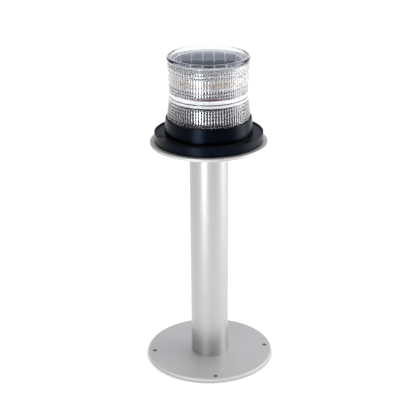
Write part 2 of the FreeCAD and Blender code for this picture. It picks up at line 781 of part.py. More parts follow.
def spacers(bottom, top):
    """Plain tubes round the stack's screws, between two heights."""
    return group([disc(spacer_diameter / 2, bottom, top, p).cut(clearance_hole(M3_PAN, bottom, top, p))
                  for p in stack_screw_points])


def lamp_drum():
    """The aluminium drum that holds the lamp strip and takes its heat."""
    hollow = disc(drum_radius - drum_wall, drum_bottom - overrun, drum_top - drum_top_thickness)
    drum = disc(drum_radius, drum_bottom, drum_top).cut(hollow)
    posts = [disc(spacer_diameter / 2, drum_bottom, drum_top, p) for p in stack_screw_points]
    holes = [clearance_hole(M3_PAN, drum_bottom, drum_top, p) for p in stack_screw_points]
    return fuse_all([drum] + posts).cut(holes)


def lamp_strip():
    """The flexible circuit wrapped round the drum."""
    return tube(strip_radius, drum_radius, lamp_middle - flex_height / 2, lamp_middle + flex_height / 2)


def lamps():
    """The ring of lamps on the strip, each a small box with a domed front."""
    bodies = []
    strip = disc(strip_radius, lamp_middle - led_height, lamp_middle + led_height)
    lamp_bottom = lamp_middle - led_height / 2
    for angle in angles_round(led_count, FULL_TURN / led_count / 2):
        middle = V(strip_radius + (led_depth - led_backing) / 2, 0, 0)
        body = box_at(led_depth + led_backing, led_width, lamp_bottom, lamp_bottom + led_height, middle)
        dome = Part.makeSphere(led_dome_radius, V(strip_radius + led_depth - led_dome_sink, 0, lamp_middle))
        lamp = fuse_all([body, dome]).cut(strip)
        lamp.rotate(V(0, 0, 0), UP, angle)
        bodies.append(lamp)
    return group(bodies)


# ------------------------------------------------------------------ solar panel
def panel_carrier():
    """The plate over the drum that the panel is pressed up from, with a low rim."""
    plate = disc(carrier_radius, carrier_bottom, carrier_top)
    rim = tube(carrier_radius, carrier_radius - carrier_rim, carrier_bottom, carrier_rim_top)
    holes = [clearance_hole(M3_PAN, carrier_bottom, carrier_top, p) for p in stack_screw_points]
    lead_hole = disc(2 * lead_diameter, carrier_bottom - overrun, carrier_top + overrun,
                     polar(lead_run_radius, panel_lead_angle))
    return fuse_all([plate, rim]).cut(holes + [lead_hole])


def stack_screws():
    """Three long screws from the carrier down through drum, spacers and board into the holder's roof."""
    return group([cap_screw(M3_PAN, carrier_top, carrier_top - roof_bottom, p) for p in stack_screw_points])


def panel_pad():
    """The foam ring on the carrier that presses the panel up against the window."""
    return tube(pad_radius, pad_radius - pad_width, carrier_top, backing_bottom)


def panel_backing():
    """The white board that the cells are laminated to: a disc with its left and right sides cut straight."""
    whole = disc(panel_radius, backing_bottom, backing_top)
    return whole.common(box_at(panel_width, 2 * panel_radius, backing_bottom, backing_top, V(0, 0, 0)))


def solar_cells():
    """Columns and rows of thin cells, their outer ends cut to the panel's round outline."""
    outline = disc(panel_radius - panel_margin, backing_top, cell_sheet_top)
    pitch = (panel_width - 2 * panel_margin + column_gap) / cell_sheet_columns
    sheets = []
    for column in range(cell_sheet_columns):
        x = (column - (cell_sheet_columns - 1) / 2) * pitch
        for row in range(cell_sheet_rows):
            y = (row - (cell_sheet_rows - 1) / 2) * row_pitch
            sheet = box_at(pitch - column_gap, row_pitch - row_gap, backing_top, cell_sheet_top, V(x, y, 0))
            sheets.append(sheet.common(outline))
    return group(sheets)


# ------------------------------------------------------------------ leads
def rounded_tube(points, diameter):
    """A tube along straight runs joined by tangent arcs, each arc as large as its two runs allow."""
    edges = []
    start = points[0]
    for before, corner, after in zip(points, points[1:], points[2:]):
        back, ahead = (before - corner), (after - corner)
        shorter = min(back.Length, ahead.Length)
        reach = bend_share * shorter
        back.normalize()
        ahead.normalize()
        enter, leave = corner + back * reach, corner + ahead * reach
        half_turn = (math.pi - back.getAngle(ahead)) / 2
        radius = reach / math.tan(half_turn)
        inward = back + ahead
        inward.normalize()
        centre = corner + inward * (radius / math.cos(half_turn))
        middle = centre - inward * radius
        edges.append(Part.LineSegment(start, enter).toShape())
        edges.append(Part.Arc(enter, middle, leave).toShape())
        start = leave
    edges.append(Part.LineSegment(start, points[-1]).toShape())
    path = Part.Wire(edges)
    first = points[1] - points[0]
    ring = Part.Wire(Part.makeCircle(diameter / 2, points[0], first))
    solid = path.makePipeShell([ring], True, True)
    return solid.Solids[0] if solid.Solids else solid


def stepped_lead(top, foot):
    """A lead down from top to foot that steps across between them under the lamp drum."""
    room = drum_bottom - foot.z
    points = [
        top,
        V(top.x, top.y, foot.z + step_top_share * room),
        V(foot.x, foot.y, foot.z + step_foot_share * room),
        foot,
    ]
    return rounded_tube(points, lead_diameter)


def panel_lead(side):
    """One lead from the panel's underside, down past the lamps, to its connector on the board."""
    across = UP.cross(panel_connector)
    across.normalize()
    offset = across * (side * lead_spacing / 2)
    top = polar(lead_run_radius, panel_lead_angle, backing_bottom)
    return stepped_lead(top + offset, V(panel_connector.x, panel_connector.y, connector_top) + offset)


def lamp_lead():
    """The lamps' cable, from the face of the strip's lower edge down to its connector on the board."""
    top = polar(strip_radius + lead_side_gap + lead_diameter / 2, lamp_lead_angle)
    top.z = lamp_middle - flex_height / 2 + lamp_lead_lap
    return stepped_lead(top, V(lamp_connector.x, lamp_connector.y, connector_top))


SUB_PARTS = {
    "base_plate": base_plate,
    "pedestal_pipe": pedestal_pipe,
    "foot_plug": lambda: end_plug(base_top),
    "foot_screws": foot_screws,
    "top_plate": top_plate,
    "head_plug": lambda: end_plug(pipe_top - plug_thickness),
    "head_screws": head_screws,
    "mounting_ring": mounting_ring,
    "ring_bolts": ring_bolts,
    "ring_washers": ring_washers,
    "housing": housing,
    "lens_seal": lens_seal,
    "battery_cover": battery_cover,
    "cover_seal": cover_seal,
    "cover_screws": cover_screws,
    "battery_cells": battery_cells,
    "cell_links": cell_links,
    "battery_lead_positive": lambda: battery_lead(battery_lead_points[1]),
    "battery_lead_negative": lambda: battery_lead(battery_lead_points[0]),
    "battery_holder": battery_holder,
    "holder_screws": holder_screws,
    "lens": lens,
    "board_standoffs": board_standoffs,
    "control_board": control_board,
    "board_parts": board_parts,
    "board_spacers": lambda: spacers(board_top, drum_bottom),
    "lamp_drum": lamp_drum,
    "lamp_strip": lamp_strip,
    "lamps": lamps,
    "lamp_lead": lamp_lead,
    "carrier_spacers": lambda: spacers(drum_top, carrier_bottom),
    "panel_carrier": panel_carrier,
    "stack_screws": stack_screws,
    "panel_pad": panel_pad,
    "panel_backing": panel_backing,
    "solar_cells": solar_cells,
    "panel_lead_positive": lambda: panel_lead(-1),
    "panel_lead_negative": lambda: panel_lead(1),
}

os.makedirs("parts", exist_ok=True)
for name, make in SUB_PARTS.items():
    shape = make()
    if not shape.isValid() or shape.Volume <= 0:
        raise RuntimeError(f"{name} is not a valid solid")
    shape.exportStep(f"parts/{name}.step")
    print(f"{name}: {len(shape.Solids)} solids, {shape.Volume / 1000:.2f} cm3")
print(f"overall height {bead_top:.2f} mm")
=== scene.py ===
# %% [markdown]
# # A solar navigation light on its aluminium pedestal
# The light is a self-contained lantern: a clear ribbed lens over a ring of amber lamps, with a solar
# panel under the lens's window, on a black housing that twists into a black mounting ring. The ring
# is bolted to a round plate on top of a pipe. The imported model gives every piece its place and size.
# This lesson gives each piece its finish, and makes the lens again with its fine optical ribs.

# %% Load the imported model
import math

import bpy
import numpy as np
from mathutils import Matrix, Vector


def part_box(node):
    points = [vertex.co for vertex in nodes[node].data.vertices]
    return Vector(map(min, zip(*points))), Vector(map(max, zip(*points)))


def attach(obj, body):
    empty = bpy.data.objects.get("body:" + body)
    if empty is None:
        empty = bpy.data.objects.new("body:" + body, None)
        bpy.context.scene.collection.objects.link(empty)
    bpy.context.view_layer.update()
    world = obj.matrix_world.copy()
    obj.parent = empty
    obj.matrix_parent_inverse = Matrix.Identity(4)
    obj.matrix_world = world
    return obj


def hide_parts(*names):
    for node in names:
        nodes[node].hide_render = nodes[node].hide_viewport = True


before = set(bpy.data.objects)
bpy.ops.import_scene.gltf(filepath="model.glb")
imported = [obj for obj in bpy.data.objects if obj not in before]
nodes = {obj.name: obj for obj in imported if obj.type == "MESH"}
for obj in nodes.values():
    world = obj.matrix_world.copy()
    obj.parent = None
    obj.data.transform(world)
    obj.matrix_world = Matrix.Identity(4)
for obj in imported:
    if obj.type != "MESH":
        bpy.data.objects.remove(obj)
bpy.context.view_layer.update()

MM = 0.001


# %% [markdown]
# ## Camera
# The light is seen from a little above and straight in front, through a long lens, so its upright
# lines stay nearly parallel. A camera is set by how far off it stands, how high, and how steeply it
# looks down, so those are the values here. A camera on a tripod is rarely quite level, so it also
# leans by a fraction of a degree.

# %% Set up the camera
camera_distance = 1.5967     # level distance from the pedestal's axis
camera_height = 0.9136
look_down = math.radians(22.30)
lean = math.radians(-0.3)    # the camera is turned this little about its own line of sight

camera_data = bpy.data.cameras.new("camera")
camera_data.sensor_width = 36.0
camera_data.lens = 94.04
camera_data.shift_x = -0.0028
camera_data.clip_start = 0.05
camera_data.clip_end = 50.0
camera = bpy.data.objects.new("camera", camera_data)
camera.location = (0.0, -camera_distance, camera_height)
pitch = Matrix.Rotation(math.radians(90.0) - look_down, 3, "X")
camera.rotation_euler = (pitch @ Matrix.Rotation(lean, 3, "Z")).to_euler()
bpy.context.scene.collection.objects.link(camera)
bpy.context.scene.camera = camera
print("camera looks down", round(math.degrees(look_down), 2), "degrees")


# %% [markdown]
# ## A small language for shaders
# A finish is a network of nodes, and its arithmetic is hard to read as a list of links. The class
# below wraps one output socket, so that ordinary Python expressions add the Math nodes. Every other
# node comes from one method, which takes the node's type, its settings, and what goes into it.

# %% Wrap a socket so that expressions build nodes
class Wire:
    """One output socket. Arithmetic on it adds Math nodes, and add() makes any other node."""

    def __init__(self, tree, socket=None):
        self.tree = tree
        self.socket = socket

    def add(self, kind, settings=None, inputs=None, output=0):
        """Makes a node of that kind: settings first, then its inputs, which are values or wires."""
        node = self.tree.nodes.new(kind)
        for name, value in (settings or {}).items():
            setattr(node, name, value)
        for name, value in (inputs or {}).items():
            if isinstance(value, Wire):
                self.tree.links.new(value.socket, node.inputs[name])
            else:
                node.inputs[name].default_value = value
        return Wire(self.tree, node.outputs[output] if node.outputs else None)

    def math(self, operation, *values):
        return self.add("ShaderNodeMath", {"operation": operation}, dict(enumerate(values)))

    def __add__(self, other):
        return self.math("ADD", self, other)

    def __radd__(self, other):
        return self.math("ADD", other, self)

    def __sub__(self, other):
        return self.math("SUBTRACT", self, other)

    def __rsub__(self, other):
        return self.math("SUBTRACT", other, self)

    def __mul__(self, other):
        return self.math("MULTIPLY", self, other)

    def __rmul__(self, other):
        return self.math("MULTIPLY", other, self)

    def __truediv__(self, other):
        return self.math("DIVIDE", self, other)

    def __gt__(self, other):
        return self.math("GREATER_THAN", self, other)

    def __lt__(self, other):
        return self.math("LESS_THAN", self, other)

    def limited(self):
        """The value, held between 0 and 1."""
        return self.math("MAXIMUM", self.math("MINIMUM", self, 1.0), 0.0)


def start_finish(name):
    """A material with an empty network, and a wire to build it from."""
    material = bpy.data.materials.new(name)
    material.use_nodes = True
    material.node_tree.nodes.clear()
    return material, Wire(material.node_tree)


def end_finish(material, wire, inputs):
    """Closes the network with a Principled shader that has those inputs."""
    shader = wire.add("ShaderNodeBsdfPrincipled", None, inputs)
    wire.add("ShaderNodeOutputMaterial", None, {"Surface": shader})
    return material


def place_on_piece(wire, stretch=(1.0, 1.0, 1.0)):
    """The point on the piece, in metres, with each axis scaled to draw a pattern out along it."""
    place = wire.add("ShaderNodeTexCoord", output="Object")
    return wire.add("ShaderNodeMapping", None, {"Vector": place, "Scale": stretch})


def speckle(wire, place, size, detail=2.0):
    """Noise from 0 to 1 whose features are about that many metres across."""
    return wire.add("ShaderNodeTexNoise", None, {"Vector": place, "Scale": 1.0 / size, "Detail": detail})


def mixed(wire, share, low, high):
    """A colour from low to high as share goes from 0 to 1. Either end may be a wire."""
    low, high = (end if isinstance(end, Wire) else (*end, 1.0) for end in (low, high))
    return wire.add("ShaderNodeMix", {"data_type": "RGBA"}, {0: share, 6: low, 7: high}, output=2)


def raised(wire, height, distance):
    """A surface normal tipped by height, where 1 stands for that many metres."""
    return wire.add("ShaderNodeBump", None, {"Strength": 1.0, "Distance": distance, "Height": height})


print("shader helpers are ready")


# %% [markdown]
# ## Bare aluminium
# The pipe and the two plates are bead-blasted and clear anodised: a metal whose reflections are
# spread wide by a fine, even grit. A metallic shader with a middling roughness does most of it. Two
# noises add what a flat value lacks: a cloud that moves the tone and the gloss a little, and a grit
# that tips the surface. The pipe was drawn through a die, so its grit is drawn out along the axis.

# %% Finish the pedestal's metal
def blasted_metal(name, dark, light, gloss, grit_size=0.7 * MM, stretch=(1.0, 1.0, 1.0), metallic=1.0):
    """Metal that scatters its reflections: a cloud shifts tone and roughness, and grit tips it."""
    material, wire = start_finish(name)
    cloud = speckle(wire, place_on_piece(wire), 40 * MM, 3.0)
    grit = speckle(wire, place_on_piece(wire, stretch), grit_size, 3.0)
    tone = mixed(wire, (cloud * 0.7 + grit * 0.3).limited(), dark, light)
    return end_finish(material, wire, {
        "Base Color": tone, "Metallic": metallic, "Roughness": cloud * 0.08 + grit * 0.06 + (gloss - 0.07),
        "Normal": raised(wire, grit, 0.02 * MM)})


plate_metal = blasted_metal("satin_aluminium", (0.67, 0.665, 0.65), (0.74, 0.735, 0.725), 0.58,
                            metallic=0.75)
pipe_metal = blasted_metal("drawn_aluminium", (0.50, 0.495, 0.485), (0.58, 0.575, 0.57), 0.36,
                           stretch=(1.0, 1.0, 0.04))
turned_metal = blasted_metal("turned_aluminium", (0.55, 0.55, 0.56), (0.65, 0.65, 0.66), 0.3,
                             stretch=(1.0, 1.0, 6.0))
print("metals:", plate_metal.name, pipe_metal.name, turned_metal.name)


# %% [markdown]
# ## Black mouldings
# The housing and the mounting ring are black glass-filled plastic with a satin texture from the
# mould. Faces that look up read greyer and rougher than the walls: partly a dusting, and partly
# painted light from above. The direction of the face itself drives that change.

# %% Finish the black plastic
def moulded_plastic(name, colour, gloss, grain_size=0.5 * MM, grain_depth=0.012 * MM,
                    dust_and_top_light=0.0, dust_and_top_light_colour=(0.05, 0.055, 0.065), specular=0.5, tint=(1.0, 1.0, 1.0)):
    """Plastic with a fine moulded grain. Faces that look up go greyer: partly a dusting, partly painted
    light from above.
    """
    material, wire = start_finish(name)
    grain = speckle(wire, place_on_piece(wire), grain_size, 3.0)
    cloud = speckle(wire, place_on_piece(wire), 25 * MM, 3.0)
    facing = wire.add("ShaderNodeNewGeometry", output="Normal")
    up = wire.add("ShaderNodeSeparateXYZ", None, {"Vector": facing}, output="Z")
    # faces that look up go greyer: partly a dusting, partly painted light from above
    dust_and_top_light_share = ((up - 0.6) * 2.5).limited() * (grain * 0.8 + cloud * 0.6) * dust_and_top_light
    shade = mixed(wire, (dust_and_top_light_share + (cloud - 0.5) * 0.1).limited(), colour, dust_and_top_light_colour)
    return end_finish(material, wire, {
        "Base Color": shade, "Roughness": cloud * 0.1 + dust_and_top_light_share * 0.2 + (gloss - 0.05),
        "Specular IOR Level": specular, "Specular Tint": (*tint, 1.0),
        "Normal": raised(wire, grain, grain_depth)})


black_plastic = moulded_plastic("black_moulding", (0.0004, 0.0006, 0.0016), 0.26, dust_and_top_light=0.5,
                                dust_and_top_light_colour=(0.035, 0.038, 0.044), specular=0.13, tint=(0.45, 0.62, 1.0))
seal_rubber = moulded_plastic("seal_rubber", (0.015, 0.015, 0.017), 0.7, grain_size=0.9 * MM)
holder_plastic = moulded_plastic("holder_moulding", (0.006, 0.010, 0.030), 0.38)
white_plastic = moulded_plastic("white_moulding", (0.80, 0.80, 0.81), 0.45)
cell_wrap = moulded_plastic("cell_wrap", (0.02, 0.05, 0.18), 0.2)
component_epoxy = moulded_plastic("board_component", (0.015, 0.015, 0.018), 0.5)
red_sleeve = moulded_plastic("red_lead", (0.40, 0.012, 0.012), 0.4)
black_sleeve = moulded_plastic("black_lead", (0.012, 0.012, 0.013), 0.4)
foam_pad = moulded_plastic("foam", (0.55, 0.55, 0.56), 0.9, grain_size=1.2 * MM, grain_depth=0.3 * MM)
print("mouldings:", black_plastic.name, holder_plastic.name, white_plastic.name)


# %% [markdown]
# ## Small metal parts
# The screws are stainless steel, the cell links nickel strip, the standoffs turned brass and the lamp
# drum machined aluminium. All are the same kind of metal finish with their own colours and gloss, so
# the metal function above makes them too. The ring's bolts and washers are steel under a black oxide,
# which hides the metal, so they look more like a plastic and come from the other function.

# %% Finish the small metal parts
stainless = blasted_metal("stainless", (0.50, 0.50, 0.51), (0.62, 0.62, 0.63), 0.28,
                          stretch=(1.0, 1.0, 5.0))
nickel = blasted_metal("nickel", (0.52, 0.50, 0.46), (0.62, 0.60, 0.56), 0.3)
black_oxide = moulded_plastic("blackened_steel", (0.006, 0.006, 0.007), 0.3, grain_size=0.4 * MM)
brass = blasted_metal("brass_standoff", (0.62, 0.45, 0.18), (0.75, 0.56, 0.25), 0.28)
drum_metal = blasted_metal("drum_aluminium", (0.62, 0.62, 0.64), (0.72, 0.72, 0.74), 0.3,
                           stretch=(1.0, 1.0, 8.0))
print("small metals:", stainless.name, nickel.name, brass.name, drum_metal.name)


# %% [markdown]
# ## Circuit board and lamp strip
# The control board has a red solder mask over copper tracks. Tracks run square to each other, so a
# brick pattern stands for them: it lifts and lightens the mask in bands. The lamp strip is a flexible
# circuit with a white mask, and copper shows through it in the same way.

# %% Finish the board and the strip
def circuit(name, mask, track, tile):
    """A circuit's face: square tracks of that tile size lie under the coloured mask."""
    material, wire = start_finish(name)
    tracks = wire.add("ShaderNodeTexBrick", {"offset": 0.5}, {
        "Vector": place_on_piece(wire), "Scale": 1.0 / tile, "Mortar Size": 0.09, "Mortar Smooth": 0.2,
        "Color1": (0.0, 0.0, 0.0, 1.0), "Color2": (0.25, 0.25, 0.25, 1.0), "Mortar": (1.0, 1.0, 1.0, 1.0)})
    cloud = speckle(wire, place_on_piece(wire), 9 * MM, 2.0)
    return end_finish(material, wire, {
        "Base Color": mixed(wire, (tracks * 0.8 + cloud * 0.2).limited(), mask, track),
        "Roughness": cloud * 0.1 + 0.25, "Normal": raised(wire, tracks, 0.03 * MM), "Coat Weight": 0.6})


board_mask = circuit("circuit_board", (0.30, 0.03, 0.08), (0.50, 0.09, 0.14), 3.0 * MM)
white_film = circuit("white_flex", (0.80, 0.79, 0.77), (0.70, 0.62, 0.52), 4.0 * MM)
print("circuits:", board_mask.name, white_film.name)


# %% [markdown]
# ## Lamps
# Each lamp is a white package with a dome of clear silicone over yellow phosphor. Unlit phosphor is a
# strong yellow-orange that glows softly because light scatters inside it, so the shader has a little
# subsurface scattering and a clear coat for the silicone.

# %% Finish the lamps
def phosphor():
    """Yellow phosphor under clear silicone, with fine grains in it."""
    material, wire = start_finish("lamp_phosphor")
    grains = speckle(wire, place_on_piece(wire), 0.3 * MM, 2.0)
    return end_finish(material, wire, {
        "Base Color": mixed(wire, grains, (1.0, 0.50, 0.10), (1.0, 0.68, 0.25)),
        "Roughness": grains * 0.1 + 0.3,
        "Subsurface Weight": 0.2, "Subsurface Scale": 0.5 * MM, "Coat Weight": 1.0, "Coat Roughness": 0.05})


lamp_phosphor = phosphor()
print("lamps:", lamp_phosphor.name)


# %% [markdown]
# ## Solar cells
# Each cell is a thin blue-grey silicon wafer under clear film. Fine silver fingers cross it, a couple
# of millimetres apart, and a bright contact strip runs along each of its long edges. The pattern
# repeats with the cells, so it is worked out from the place on the panel: the distance to the nearest
# line of a ladder of lines.

# %% Finish the solar cells
cells_low, cells_high = (np.array(corner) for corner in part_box("solar_cells"))
cell_columns = 5
cell_pitch = float(cells_high[0] - cells_low[0]) / cell_columns
finger_pitch = 2.0 * MM
finger_width = 0.14 * MM
edge_strip = 2.3 * MM        # across both strips and the gap between two cells
flake_size = 4.0 * MM        # of the silicon's crystals
weave_size = 0.8 * MM        # of the backing's glass cloth


def ladder(wire, along, pitch, width):
    """1 on lines of that width, one every pitch, and 0 between them."""
    return wire.math("PINGPONG", along + 100 * pitch, pitch / 2) > (pitch - width) / 2


def silicon():
    """Silicon with fingers along x and a strip down each long edge."""
    material, wire = start_finish("solar_cell")
    place = place_on_piece(wire)
    x = wire.add("ShaderNodeSeparateXYZ", None, {"Vector": place}, output="X")
    y = wire.add("ShaderNodeSeparateXYZ", None, {"Vector": place}, output="Y")
    flakes = wire.add("ShaderNodeTexVoronoi", None, {"Vector": place, "Scale": 1.0 / flake_size},
                      output="Color")
    flake = wire.add("ShaderNodeSeparateXYZ", None, {"Vector": flakes}, output="X")
    fingers = ladder(wire, y, finger_pitch, finger_width)
    strips = ladder(wire, x, cell_pitch, edge_strip)
    silver = wire.math("MAXIMUM", fingers * 0.3, strips)
    wafer = mixed(wire, flake, (0.030, 0.046, 0.110), (0.050, 0.070, 0.150))
    return end_finish(material, wire, {
        "Base Color": mixed(wire, silver, wafer, (0.80, 0.81, 0.84)), "Roughness": flake * 0.08 + 0.4,
        "Specular IOR Level": 0.25, "Normal": raised(wire, silver, 0.02 * MM)})


def laminate():
    """The panel's white backing sheet, which shows as pale lines between the cells."""
    material, wire = start_finish("panel_backing")
    weave = wire.add("ShaderNodeTexChecker", None,
                     {"Vector": place_on_piece(wire), "Scale": 1.0 / weave_size}, output="Fac")
    cloud = speckle(wire, place_on_piece(wire), 12 * MM, 2.0)
    return end_finish(material, wire, {
        "Base Color": mixed(wire, cloud, (0.85, 0.86, 0.88), (0.92, 0.92, 0.94)),
        "Roughness": cloud * 0.1 + 0.3,
        "Normal": raised(wire, weave, 0.01 * MM), "Coat Weight": 0.8, "Coat Roughness": 0.1})


solar_silicon = silicon()
white_laminate = laminate()
print("solar cells:", cell_columns, "columns,", round(cell_pitch / MM, 2), "mm apart")


# %% [markdown]
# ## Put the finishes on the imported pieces
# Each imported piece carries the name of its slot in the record, and each slot has one finish. The pipe
# has the plates' slot but was drawn, so it is named by itself.

# %% Assign the finishes
finish_of_slot = {
    "satin_aluminium": plate_metal, "turned_aluminium": turned_metal, "stainless": stainless,
    "blackened_steel": black_oxide, "nickel": nickel,
    "black_moulding": black_plastic, "seal_rubber": seal_rubber, "cell_wrap": cell_wrap,
    "holder_moulding": holder_plastic, "circuit_board": board_mask, "board_component": component_epoxy,
    "brass_standoff": brass, "drum_aluminium": drum_metal, "white_flex": white_film,
    "lamp_phosphor": lamp_phosphor, "white_moulding": white_plastic, "foam": foam_pad,
    "panel_backing": white_laminate, "solar_cell": solar_silicon, "red_lead": red_sleeve,
    "black_lead": black_sleeve,
}
for name, node in nodes.items():
    for place, material in enumerate(node.data.materials):
        slot_name = material.name.split(".")[0]
        if slot_name in finish_of_slot:
            node.data.materials[place] = finish_of_slot[slot_name]
        elif name != "lens":
            print("no finish for", name, material.name)
nodes["pedestal_pipe"].data.materials[0] = pipe_metal
print("finished", len(nodes), "packed pieces")


# %% [markdown]
# ## The lens
# The lens is one clear moulding: a ribbed wall with a smooth waist, a rounded rim, and a slightly
# domed window over the solar panel. Rings of prisms outside bend the lamps' light to the horizon, and
# upright flutes inside spread it round. Both could be bumps in a shader, but glass shows them by
# bending what lies behind, so they are real shape here: a profile is turned round the axis, and the
# flutes are a ripple in the bore's radius. Between the two ribbed bands runs a plain waist with a
# fine V groove.

# %% Lens sizes, in millimetres
lens_low, lens_high = (np.array(corner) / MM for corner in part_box("lens"))
housing_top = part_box("housing")[1].z / MM
lens_bottom, lens_top = float(lens_low[2]), float(lens_high[2])
foot_radius = float(lens_high[0] - lens_low[0]) / 2
foot_wall = 3.2
ledge = 0.3                  # how far the plain foot stops short of the ribs
waist_radius = foot_radius - 4.3
waist_wall = 3.2
lower_wall = 4.3
band_seat = 1.0              # how far the ribs start above the housing
lower_band_height = 29.0
waist_height = 10.0
upper_band_height = 47.0
lower_band = (housing_top + band_seat, housing_top + band_seat + lower_band_height)
lower_band_radii = (foot_radius - 0.4, waist_radius + 0.9)
lower_rings = (1, 1, 1, 1, 1, 1)
band_edge = 0.2              # the plain step over the lower band's last ring
groove_middle = lower_band[1] + 4.5
groove_depth = 0.6
groove_half_width = 0.5
groove_lip = 0.3             # how far the groove's lower edge stands out past the waist
upper_band = (lower_band[1] + waist_height, lower_band[1] + waist_height + upper_band_height)
upper_band_radii = (waist_radius, waist_radius + 2.4)
upper_rings = (1, 1, 1, 4, 1, 1, 1)    # ring heights' shares from the bottom: the belt is the tall one
prism_depth = 0.7
bead_radius = 3.2
bead_middle = upper_band_radii[1] - 2.2
bead_centre = lens_top - bead_radius
window_radius = bead_middle - 7.2
window_top = lens_top - 4.6
window_dome = 1.7
window_thickness = 3.0
window_under = window_top - window_thickness
bore_top_radius = waist_radius - waist_wall
flute_count = 90
flute_columns = 6            # of the mesh, across one flute
flute_depth = 1.5
flute_rise = 0.5             # how much of that stands in from the plain bore
print("lens from", round(lens_bottom, 2), "to", round(lens_top, 2), "mm high")


# %% Shape the lens's profile
def ribbed(bottom, top, radii, rings, samples=7):
    """Radius and height down one band: a straight taper, less prism_depth times how near the point is
    to the valley between two rings. Each ring bulges as half a sine wave does, with sharp valleys."""
    edges = np.concatenate([[0.0], np.cumsum(rings)]) / sum(rings)
    step = np.arange(len(rings) * samples + 1) / samples
    share = np.interp(step, np.arange(len(edges)), edges)[::-1]
    taper = radii[0] + (radii[1] - radii[0]) * share
    bulge = np.abs(np.sin(np.pi * step))[::-1]
    return taper - prism_depth * (1.0 - bulge), bottom + (top - bottom) * share


def arc_over(centre, height, radius, steps=9):
    """A half circle over the rim, from its inner side to its outer side."""
    turn = np.linspace(np.pi, 0.0, steps)
    return centre + radius * np.cos(turn), height + radius * np.sin(turn)


def fade_in(height, bottom, top, blend=1.5):
    """1 between bottom and top, falling to 0 over blend millimetres at each end."""
    return np.clip((height - bottom) / blend, 0.0, 1.0) * np.clip((top - height) / blend, 0.0, 1.0)


def lens_profile():
    """Radius, height and flute share from the window's middle over the rim, down the outside, round
    the foot, up the bore and in under the window."""
    dome_sphere = (window_radius ** 2 + window_dome ** 2) / (2 * window_dome)
    window_r = np.linspace(window_radius / 5, window_radius, 5)
    window_z = window_top - (dome_sphere - np.sqrt(dome_sphere ** 2 - window_r ** 2))
    groove_r = np.array([waist_radius, waist_radius - groove_depth, waist_radius + groove_lip])
    groove_z = groove_middle + groove_half_width * np.array([1.0, 0.0, -1.0])
    foot_r = foot_radius - foot_wall * np.array([0.0, 0.0, 1.0, 1.0])
    foot_z = np.array([lower_band[0] - ledge, lens_bottom, lens_bottom, lower_band[0] - ledge])
    outside = [
        (window_r, window_z),
        arc_over(bead_middle, bead_centre, bead_radius),
        (upper_band_radii[1:], [bead_centre - bead_radius]),
        ribbed(*upper_band, upper_band_radii, upper_rings),
        (groove_r, groove_z),
        (lower_band_radii[1:], [lower_band[1] + band_edge]),
        ribbed(*lower_band, lower_band_radii, lower_rings),
        (foot_r, foot_z),
    ]
    bore_share = np.linspace(0.0, 1.0, 25)
    bore_z = lower_band[0] + (window_under - lower_band[0]) * bore_share
    bore_r = (foot_radius - lower_wall) + (bore_top_radius - foot_radius + lower_wall) * bore_share
    under_r = np.array([window_radius, window_radius / 3])
    under_z = np.array([window_under, window_under])
    fluted = (fade_in(bore_z, lower_band[0] + 1, lower_band[1] - 1)
              + fade_in(bore_z, upper_band[0] + 1, upper_band[1] - 1))
    radius = np.concatenate([part[0] for part in outside] + [bore_r, under_r])
    height = np.concatenate([part[1] for part in outside] + [bore_z, under_z])
    plain_before = sum(len(part[0]) for part in outside)
    flutes = np.zeros_like(radius)
    flutes[plain_before:plain_before + len(bore_r)] = fluted
    return radius, height, flutes


print("lens profile:", len(lens_profile()[0]), "points")


# %% Turn the profile round the axis
def turned_mesh(name, radius, height, ripple, columns, top_pole, bottom_pole):
    """A closed mesh: row i is a loop of radius radius[i] less ripple[i, j] at column j. The first and
    last rows close to a point on the axis at the pole heights. Everything is in millimetres."""
    turn = np.linspace(0.0, 2.0 * np.pi, columns, endpoint=False)
    round_radius = radius[:, None] - ripple
    rows = np.stack([round_radius * np.sin(turn), -round_radius * np.cos(turn),
                     np.broadcast_to(height[:, None], round_radius.shape)], axis=-1)
    points = np.concatenate([rows.reshape(-1, 3), [[0.0, 0.0, top_pole], [0.0, 0.0, bottom_pole]]]) * MM
    here = np.arange(columns)
    beside = (here + 1) % columns
    row_start = (np.arange(len(radius) - 1) * columns)[:, None]
    quads = np.stack([row_start + here, row_start + columns + here, row_start + columns + beside,
                      row_start + beside], axis=-1).reshape(-1, 4)
    top_fan = np.stack([np.full(columns, len(points) - 2), here, beside], axis=-1)
    last = (len(radius) - 1) * columns
    bottom_fan = np.stack([np.full(columns, len(points) - 1), last + beside, last + here], axis=-1)
    mesh = bpy.data.meshes.new(name)
    mesh.from_pydata(points.tolist(), [], quads.tolist() + top_fan.tolist() + bottom_fan.tolist())
    mesh.polygons.foreach_set("use_smooth", np.ones(len(mesh.polygons), bool))
    mesh.set_sharp_from_angle(angle=math.radians(50.0))
    piece = bpy.data.objects.new(name, mesh)
    bpy.context.scene.collection.objects.link(piece)
    return piece


def make_lens():
    """The lens: its profile turned, with flutes in the bore. Across a flute, u runs from -1 to 1 and
    the flute's height is the half circle's, the square root of 1 - u squared."""
    radius, height, flutes = lens_profile()
    columns = flute_count * flute_columns
    across = (np.arange(columns) % flute_columns) / flute_columns * 2.0 - 1.0
    lobe = np.sqrt(1.0 - across ** 2)
    ripple = flutes[:, None] * (lobe[None, :] * flute_depth - (flute_depth - flute_rise))
    return turned_mesh("ribbed_lens", radius, height, ripple, columns, window_top, window_under)


lens = make_lens()
lens_sizes = len(lens.data.vertices), sum(len(face.vertices) - 2 for face in lens.data.polygons)
print("lens vertices and triangles:", lens_sizes)


